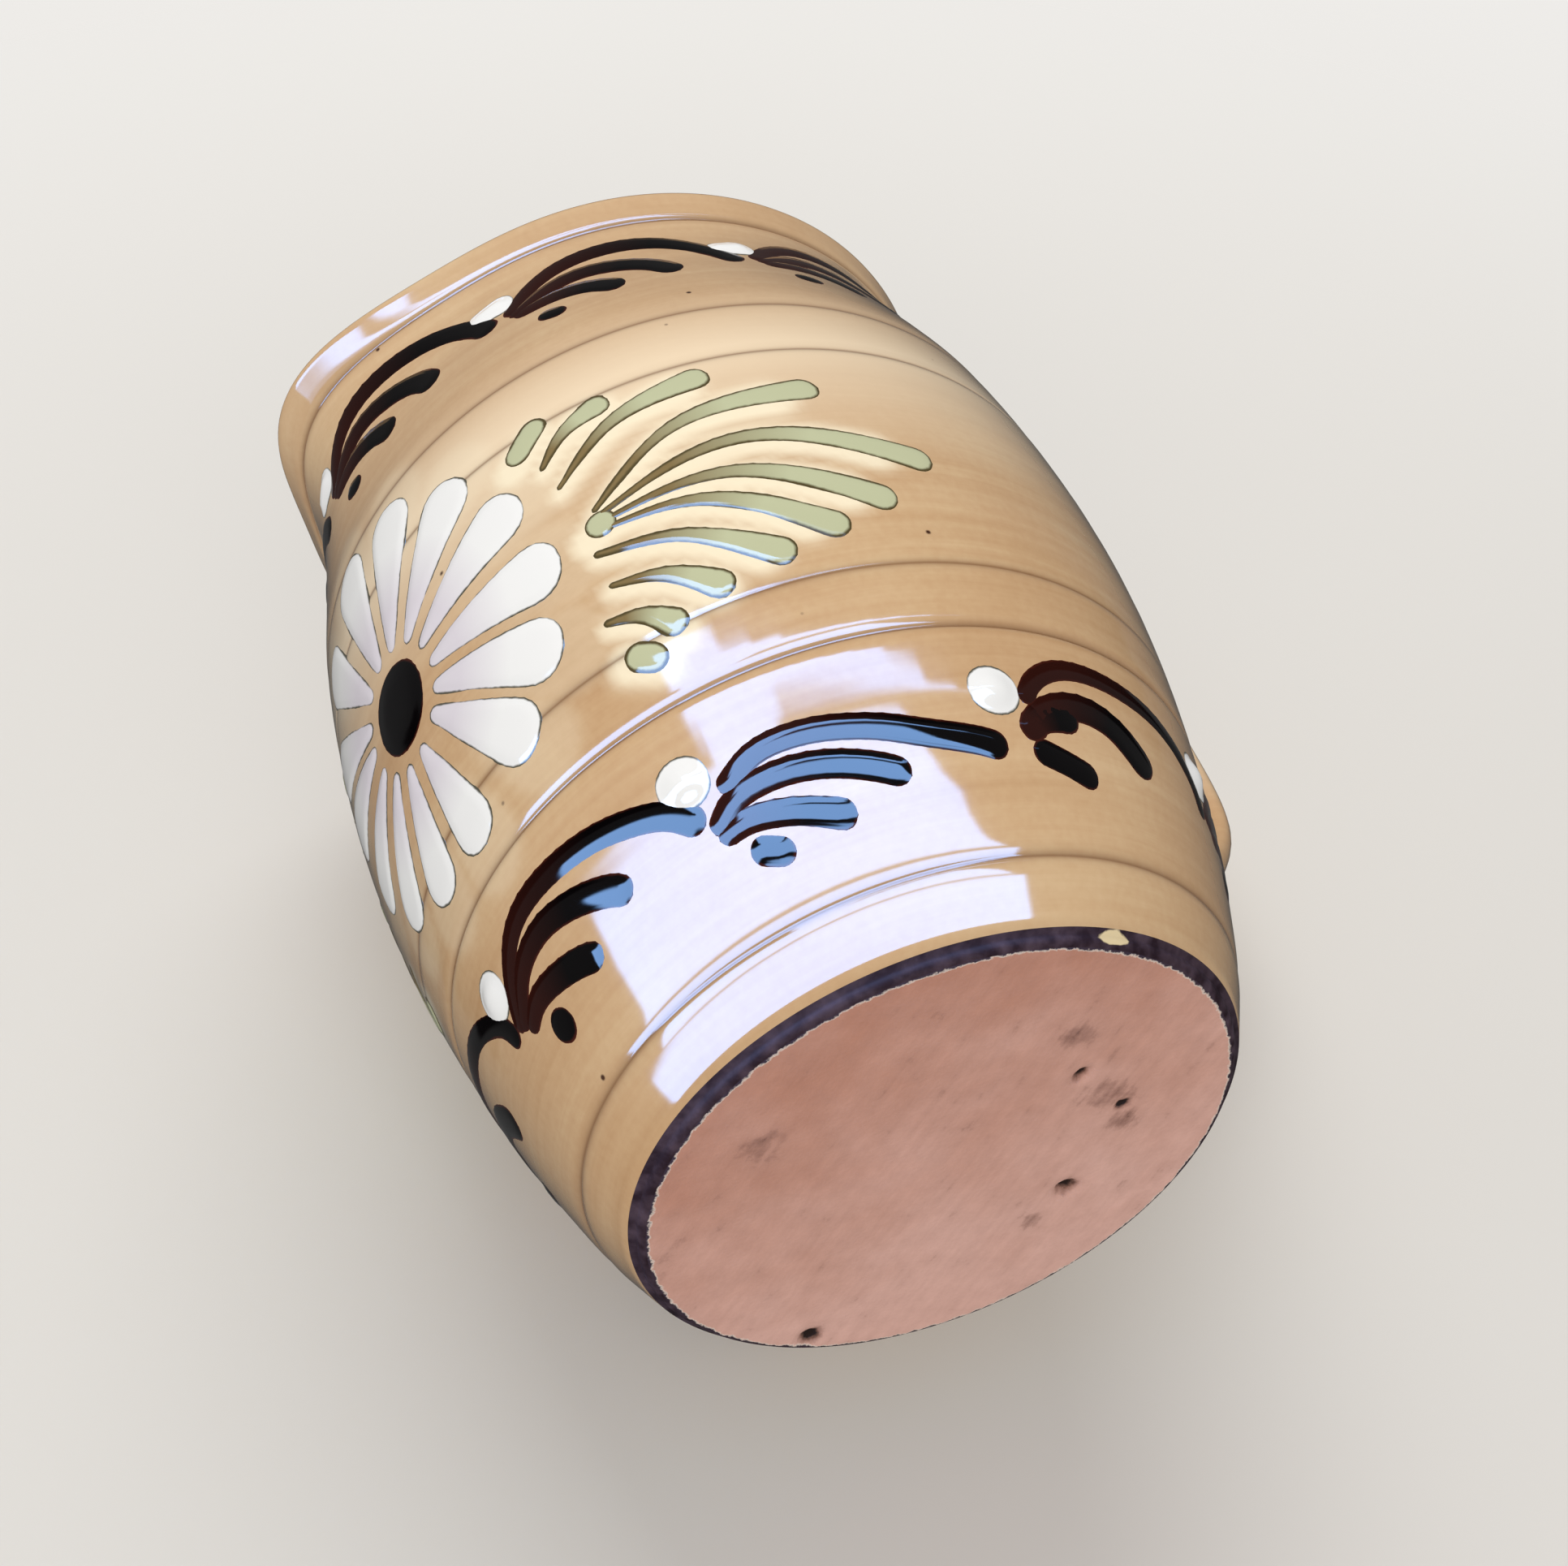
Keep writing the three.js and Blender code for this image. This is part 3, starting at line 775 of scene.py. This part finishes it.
def bodyProfile():
    look = jugBody
    wall = jugWall["thickness"]
    bend = look["bendPoints"]
    toeRadius = footRadius - look["footRound"]
    foot = np.stack((np.linspace(0, toeRadius, look["footRings"]), np.zeros(look["footRings"])), 1)
    toe = arcPoints((toeRadius, look["footRound"]), look["footRound"], -90, 0, look["toePoints"])[1:]

    # the rows of the outside are close at the turned lines
    collar, edgeHeight = look["collarRadius"], look["rimTop"] - look["rimEdge"]
    heights = np.array([line[0] for line in look["lines"]])
    fine = (heights[:, None] + np.arange(-look["lineRows"], look["lineRows"] + 1) * look["lineStep"]).ravel()
    coarse = np.arange(footWash["top"], edgeHeight - look["lineStep"], look["step"])
    apart = np.abs(coarse[:, None] - heights).min(1)
    z = np.sort(np.concatenate((fine, coarse[apart > (look["lineRows"] + 1) * look["lineStep"]])))
    settle = np.clip((z - look["footRound"]) / look["settle"], 0, 1)
    settle = settle * np.clip((edgeHeight - z) / look["settle"], 0, 1)

    # the collar's side leans out above the neck line
    leaning = collar - look["collarLean"] * (edgeHeight - z)
    collarFoot = collar - look["collarLean"] * (edgeHeight - neckLine) - neckRadius
    leaning -= collarFoot * np.exp((neckLine - z) / look["collarRound"])
    outside = np.where(z > neckLine, leaning, wallRadius(z)) - settle * (lineCut(z) - throwing(z))
    outside = np.stack((outside, z), 1)
    rimSide = collar - look["rimEdge"]
    rim = arcPoints((rimSide, edgeHeight), look["rimEdge"], 0, 90, look["rimPoints"])
    innerRim = arcPoints((0, 0), 1, 90, 180, bend)[1:] * (rimSide + wall - rimRadius, wall / 2)
    innerRim += (rimSide, look["rimTop"] - wall / 2)

    filletTop = look["floor"] + look["floorFillet"]
    z = np.arange(look["rimTop"] - wall / 2 - look["innerStep"], filletTop, -look["innerStep"])
    inside = np.stack((wallRadius(z) - wall, z), 1)
    filletCentre = (float(wallRadius(filletTop)) - wall - look["floorFillet"], filletTop)
    fillet = arcPoints(filletCentre, look["floorFillet"], 0, -90, bend)
    floorRadii = np.linspace(filletCentre[0], 0, bend)[1:]
    floor = np.stack((floorRadii, np.full(len(floorRadii), float(look["floor"]))), 1)
    return np.concatenate((foot, toe, outside, rim, innerRim, inside, fillet, floor))


def haloField(points):
    # how near each place on the outside is to the white and green slip, read from strokes moved down by the
    # sag, so the cream is partly a painted lit band below each stroke
    look = jugBody
    angle = np.arctan2(points[:, 0], -points[:, 1])
    flat = np.stack((angle * bellyRadius, points[:, 2] - daisyHeight), 1)
    glow = np.zeros(len(points))
    for places, halfTail, halfHead, strength in haloStrokes:
        path, run = smoothPath(places, look["haloSteps"])
        half = halfTail + (halfHead - halfTail) * run / run[-1]
        for place, width in zip(path - np.array((0, look["litBandSag"])), half):
            away = np.maximum(np.linalg.norm(flat - place, axis=1) - width, 0)
            glow = np.maximum(glow, strength * np.exp(-(away / look["haloReach"]) ** 2))
    fromDaisy = np.hypot(flat[:, 0], flat[:, 1]) - look["daisyClear"]
    return glow * np.clip(fromDaisy / look["daisyFade"], 0, 1)


def throwBody():
    look = jugBody
    profile = bodyProfile()
    bpy.ops.object.select_all(action="DESELECT")
    bpy.ops.mesh.primitive_plane_add(size=mm)
    body = bpy.context.active_object
    bpy.ops.object.mode_set(mode="EDIT")
    bpy.ops.mesh.select_all(action="SELECT")
    bpy.ops.mesh.merge(type="CENTER")
    for step in np.diff(profile, axis=0) * mm:
        bpy.ops.mesh.extrude_vertices_move(TRANSFORM_OT_translate={"value": (step[0], 0, step[1])})
    bpy.ops.mesh.select_all(action="SELECT")
    bpy.ops.mesh.spin(steps=look["segments"], angle=2 * math.pi, center=(0, 0, 0), axis=(0, 0, 1))
    bpy.ops.mesh.select_all(action="SELECT")
    bpy.ops.mesh.remove_doubles(threshold=look["weld"] * mm)
    bpy.ops.mesh.normals_make_consistent(inside=False)
    bpy.ops.object.mode_set(mode="OBJECT")
    bpy.ops.object.shade_smooth()

    # the lip is drawn out after throwing, and the foot is pitted by wear
    thrown = readPoints(body.data) / mm
    x, y, z = thrown.T
    outside = (np.hypot(x, y) > wallRadius(z) - jugWall["thickness"] / 2) & (z > look["outsideFrom"])
    underside = z < look["undersideTop"]
    placed = pullLip(thrown)
    marks = np.zeros(len(thrown))
    for pitX, pitY, size, depth in look["pits"]:
        near = np.exp(-((x - pitX) ** 2 + (y - pitY) ** 2) / size ** 2)
        placed[:, 2] += np.where(underside, depth * near, 0)
        marks = np.maximum(marks, np.where(underside, look["pitMark"] * near, 0))
    for smudgeX, smudgeY, size in look["smudges"]:
        near = np.exp(-((x - smudgeX) ** 2 + (y - smudgeY) ** 2) / size ** 2)
        marks = np.maximum(marks, np.where(underside, look["smudgeMark"] * near, 0))
    writePoints(body.data, placed * mm)
    writeAttribute(body.data, "linePool", np.where(outside, lineCut(z, False) ** look["poolFall"], 0))
    writeAttribute(body.data, "slipHaloAndLitBand", np.where(outside, haloField(thrown), 0))
    writeAttribute(body.data, "footMarks", marks)
    chipTurn, chipHalf, chipHeight, chipRise = look["chip"]
    beside = (np.arctan2(x, -y) - math.radians(chipTurn)) * footRadius / chipHalf
    writeAttribute(body.data, "footChip", np.exp(-beside ** 2 - ((z - chipHeight) / chipRise) ** 2))

    for finish in ("glazed_clay", "bare_clay", "foot_wash"):
        body.data.materials.append(materials[finish])
    for face in body.data.polygons:
        highest = z[list(face.vertices)].max()
        if highest < look["bareTop"]:
            face.material_index = 1
        elif highest < footWash["top"] + look["undersideTop"]:
            face.material_index = 2
    finishPiece(body, "jugBody", "glazed_clay", "body")


throwBody()
print("body thrown")


# the pulled strap handle, mm: its spine drawn from the widest part of the wall, out as shares of the reach
# and down as shares of the span, its width and thickness at the upper and lower root, and a shallow groove
strap = {
    "top": rimHeight - 17,
    "span": 64,
    "reach": 24,
    "sink": 2.5,
    "spine": ((0.27, -0.06), (0.92, 0.17), (0.94, 0.5), (0.79, 0.85)),
    "width": (19.6, 14.6),
    "thickness": (8.0, 6.8),
    "flare": 0.3,
    "flareLength": 6,
    "groove": 0.5,
    "grooveHalf": 3,
    "stations": 80,
    "sides": 40,
    "weld": 0.002,
}


def pullHandle():
    look = strap
    top, span = look["top"], look["span"]
    ends = [(float(wallRadius(z)) - jugWall["thickness"] / 2, z - look["sink"]) for z in (top, top - span)]
    middle = [(bellyRadius + out * look["reach"], top - down * span) for out, down in look["spine"]]
    path, reach = smoothPath([ends[0], *middle, ends[1]])
    handle = addGrid("handle", look["stations"], look["sides"])
    grid = readPoints(handle.data)
    share = grid[:, 0] + 0.5
    around = (grid[:, 1] + 0.5) * 2 * math.pi
    place = share * reach[-1]
    spine = placeAt(place, path, reach)
    ahead = placeAt(place + slopeReach, path, reach) - placeAt(place - slopeReach, path, reach)
    ahead /= np.linalg.norm(ahead, axis=1, keepdims=True)
    fromWall = spine[:, 0] - wallRadius(np.clip(spine[:, 1], 0, rimHeight))
    flare = 1 + look["flare"] * np.exp(-(fromWall / look["flareLength"]) ** 2)
    halfWidth = (look["width"][0] + (look["width"][1] - look["width"][0]) * share) / 2 * flare
    halfThick = (look["thickness"][0] + (look["thickness"][1] - look["thickness"][0]) * share) / 2 * flare
    x = halfWidth * np.cos(around)
    groove = look["groove"] * np.clip(np.sin(around), 0, 1) * np.exp(-(x / look["grooveHalf"]) ** 2)
    rise = halfThick * np.sin(around) - groove
    points = np.stack((x, spine[:, 0] + rise * ahead[:, 1], spine[:, 1] - rise * ahead[:, 0]), 1)
    writePoints(handle.data, points * mm)
    bpy.ops.object.mode_set(mode="EDIT")
    bpy.ops.mesh.select_all(action="SELECT")
    bpy.ops.mesh.remove_doubles(threshold=look["weld"] * mm)
    bpy.ops.mesh.select_all(action="DESELECT")
    bpy.ops.mesh.select_non_manifold()
    bpy.ops.mesh.fill_holes(sides=0)
    bpy.ops.mesh.select_all(action="SELECT")
    bpy.ops.mesh.normals_make_consistent(inside=False)
    bpy.ops.object.mode_set(mode="OBJECT")
    bpy.ops.object.shade_smooth()
    finishPiece(handle, "handleStrap", "glazed_clay", "handle")


pullHandle()
print("handle pulled")


# the stage: a pale floor under the foot, and a pale ground that the jug lies on in the low view, each seen
# only from its upper side so that neither hides the jug. Sizes in metres, the gap to the ground in mm
stageLook = {
    "paper": "#d0cdc8",
    "wallPaper": "#d7d4cf",
    "backdrop": "#efedea",
    "floorSize": 3.0,
    "floorHeight": -0.0006,
    "fadeFrom": 0.16,
    "fadeTo": 0.42,
    "restAngle": 64.0,
    "restGap": 51.6,
    "restHeight": 0.05,
}


def makePaper(name, tint):
    material, tree = newMaterial(name)
    coords = addNode(tree, "ShaderNodeTexCoord").outputs["Object"]
    reach = addNode(tree, "ShaderNodeVectorMath", {0: coords}, operation="LENGTH").outputs["Value"]
    fade = addNode(tree, "ShaderNodeMapRange", {
        0: reach, "From Min": stageLook["fadeFrom"], "From Max": stageLook["fadeTo"]},
        interpolation_type="SMOOTHSTEP")
    behind = addNode(tree, "ShaderNodeNewGeometry").outputs["Backfacing"]
    clear = addMath(tree, "MAXIMUM", fade.outputs[0], behind)
    paper = addNode(tree, "ShaderNodeBsdfDiffuse", {"Color": linearColour(tint)})
    nothing = addNode(tree, "ShaderNodeBsdfTransparent")
    mixed = addNode(tree, "ShaderNodeMixShader", {0: clear, 1: paper.outputs[0], 2: nothing.outputs[0]})
    addNode(tree, "ShaderNodeOutputMaterial", {"Surface": mixed.outputs[0]})
    return material


def layGround(name, place, facing, material):
    bpy.ops.object.select_all(action="DESELECT")
    bpy.ops.mesh.primitive_plane_add(size=stageLook["floorSize"])
    ground = bpy.context.active_object
    ground.name = name
    ground.rotation_mode = "QUATERNION"
    ground.rotation_quaternion = Vector(facing).to_track_quat("Z", "Y")
    ground.location = place
    ground.data.materials.append(material)
    ground.visible_diffuse = False
    ground.visible_glossy = False
    ground.visible_transmission = False
    ground.visible_shadow = False


layGround("floor", (0, 0, stageLook["floorHeight"]), (0, 0, 1),
          makePaper("pale floor paper", stageLook["paper"]))
restTurn = math.radians(stageLook["restAngle"])
restFacing = Vector((math.sin(restTurn), -math.cos(restTurn), 0))
restPlace = -restFacing * stageLook["restGap"] * mm + Vector((0, 0, stageLook["restHeight"]))
layGround("ground", restPlace, restFacing, makePaper("pale ground paper", stageLook["wallPaper"]))

# the room: its light on clay, and the little of it that shows in the glaze
studio = {"ambient": 0.52, "glossShare": 0.08}


def lightRoom():
    world = bpy.data.worlds.new("pale studio")
    bpy.context.scene.world = world
    world.use_nodes = True
    tree = world.node_tree
    tree.nodes.clear()
    rays = addNode(tree, "ShaderNodeLightPath").outputs
    shown = addMath(tree, "MAXIMUM", rays["Is Camera Ray"], rays["Is Transmission Ray"])
    white = (1, 1, 1, 1)
    room = addNode(tree, "ShaderNodeBackground", {"Color": white, "Strength": studio["ambient"]})
    dim = addNode(tree, "ShaderNodeBackground", {"Color": white, "Strength": studio["glossShare"]})
    pale = addNode(tree, "ShaderNodeBackground", {
        "Color": linearColour(stageLook["backdrop"]), "Strength": 1.0})
    lit = addNode(tree, "ShaderNodeMixShader", {
        0: rays["Is Glossy Ray"], 1: room.outputs[0], 2: dim.outputs[0]})
    seen = addNode(tree, "ShaderNodeMixShader", {0: shown, 1: lit.outputs[0], 2: pale.outputs[0]})
    addNode(tree, "ShaderNodeOutputWorld", {"Surface": seen.outputs[0]})


lightRoom()

# lamps: azimuth from the lip towards +X and elevation in degrees, distance and size in metres. They light the
# jug evenly and don't show in its glaze
lamps = {
    "keyBox": {"azimuth": 73, "elevation": 40, "distance": 0.9, "size": 0.7, "power": 5.3},
    "leftFill": {"azimuth": -30, "elevation": 5, "distance": 0.9, "size": 0.7, "power": 1.8},
    "lowFill": {"azimuth": 40, "elevation": -55, "distance": 0.9, "size": 0.8, "power": 3.9},
    "backFill": {"azimuth": 190, "elevation": 32, "distance": 1.0, "size": 0.8, "power": 4.4},
}
lampAim = Vector((0, 0, 0.06))


def lookFrom(azimuth, elevation):
    turn, climb = math.radians(azimuth), math.radians(elevation)
    return Vector((math.sin(turn) * math.cos(climb), -math.cos(turn) * math.cos(climb), math.sin(climb)))


def hangLamp(name, look):
    towards = lookFrom(look["azimuth"], look["elevation"])
    light = bpy.data.lights.new(name, "AREA")
    light.size = look["size"]
    light.energy = look["power"]
    lamp = bpy.data.objects.new(name, light)
    bpy.context.scene.collection.objects.link(lamp)
    lamp.location = lampAim + towards * look["distance"]
    lamp.rotation_mode = "QUATERNION"
    lamp.rotation_quaternion = towards.to_track_quat("Z", "Y")
    lamp.visible_camera = False
    lamp.visible_glossy = False


for lampName, lampLook in lamps.items():
    hangLamp(lampName, lampLook)

# what shows in the glaze: a window before the jug, a low strip by its foot, and two dark blinds that hide
# the window from parts of the shoulder. Each sheet holds soft panes, as left, right, bottom and top in
# degrees and how far the left and right side lean for each degree up
window = {
    "sheets": (
        {"height": 0.06, "distance": 1.2, "turns": (-32, 108), "climbs": (-12, 28), "soft": 2.5,
         "power": 10, "cover": 1,
         "panes": ((-18.3, 93, -7.5, 11.5, 0.25, -0.9), (33, 21, 6, 18.5, 0, 2.4),
                   (31, 212, 14, 23.5, 0, -7.5))},
        {"height": 0, "distance": 0.14, "turns": (-32, 108), "climbs": (-20, 4), "soft": 2,
         "power": 10, "cover": 1,
         "panes": ((-22, 96, -15, -1.5, 0, 0),)},
        {"height": 0.095, "distance": 0.14, "turns": (-70, 160), "climbs": (-14, 14), "soft": 4,
         "power": 0, "cover": 0.85,
         "panes": ((-64, 28, -9.5, 9.5, 0, 0), (62, 154, -9.5, 9.5, 0, 0))},
    ),
    "light": (0.31, 0.58, 1.12),
}


def makeWindowLight():
    material, tree = newMaterial("window light")
    glow = addNode(tree, "ShaderNodeEmission", {
        "Color": (*window["light"], 1), "Strength": addField(tree, "power")})
    nothing = addNode(tree, "ShaderNodeBsdfTransparent")
    mixed = addNode(tree, "ShaderNodeMixShader", {
        0: addField(tree, "cover"), 1: nothing.outputs[0], 2: glow.outputs[0]})
    addNode(tree, "ShaderNodeOutputMaterial", {"Surface": mixed.outputs[0]})
    return material


def hangSheet(look, material):
    (first, last), (lowest, highest) = look["turns"], look["climbs"]
    sheet = addGrid("windowSheet", last - first, highest - lowest)
    grid = readPoints(sheet.data)
    azimuth = first + (last - first) * (grid[:, 0] + 0.5)
    elevation = lowest + (highest - lowest) * (grid[:, 1] + 0.5)
    shines = np.zeros(len(grid))
    for left, right, bottom, top, leftLean, rightLean in look["panes"]:
        inside = np.ones(len(grid))
        for gap in (azimuth - left - leftLean * elevation, right + rightLean * elevation - azimuth,
                    elevation - bottom, top - elevation):
            inside *= easeStep(np.clip(gap / look["soft"] + 0.5, 0, 1))
        shines = np.maximum(shines, inside)
    middle = Vector((0, 0, look["height"]))
    places = [middle + look["distance"] * lookFrom(*turn) for turn in zip(azimuth, elevation)]
    writePoints(sheet.data, np.array(places))
    writeAttribute(sheet.data, "cover", shines * look["cover"])
    writeAttribute(sheet.data, "power", shines * look["power"])
    sheet.data.materials.append(material)
    sheet.visible_camera = False
    sheet.visible_diffuse = False
    sheet.visible_transmission = False
    sheet.visible_shadow = False


windowLight = makeWindowLight()
for windowSheet in window["sheets"]:
    hangSheet(windowSheet, windowLight)
print("stage lit:", len(lamps), "lamps and a window")

# the camera looks up at the foot of the lying jug: its place, lens and sensor in mm, its clip in metres
lowView = {
    "place": (161.9, -167.6, -140.5),
    "ahead": (-0.52374, 0.54943, 0.65102),
    "up": (0.71384, -0.134, 0.68737),
    "lens": 56.34,
    "sensor": 36,
    "clip": 0.01,
}
camera = bpy.data.objects.new("lowCamera", bpy.data.cameras.new("lowCamera"))
bpy.context.scene.collection.objects.link(camera)
back = -Vector(lowView["ahead"]).normalized()
up = Vector(lowView["up"]).normalized()
side = up.cross(back).normalized()
turned = Matrix((side, back.cross(side), back)).transposed().to_4x4()
camera.matrix_world = Matrix.Translation(Vector(lowView["place"]) * mm) @ turned
camera.data.lens = lowView["lens"]
camera.data.sensor_width = lowView["sensor"]
camera.data.clip_start = lowView["clip"]
bpy.context.scene.camera = camera
bpy.context.scene.view_settings.view_transform = "Standard"
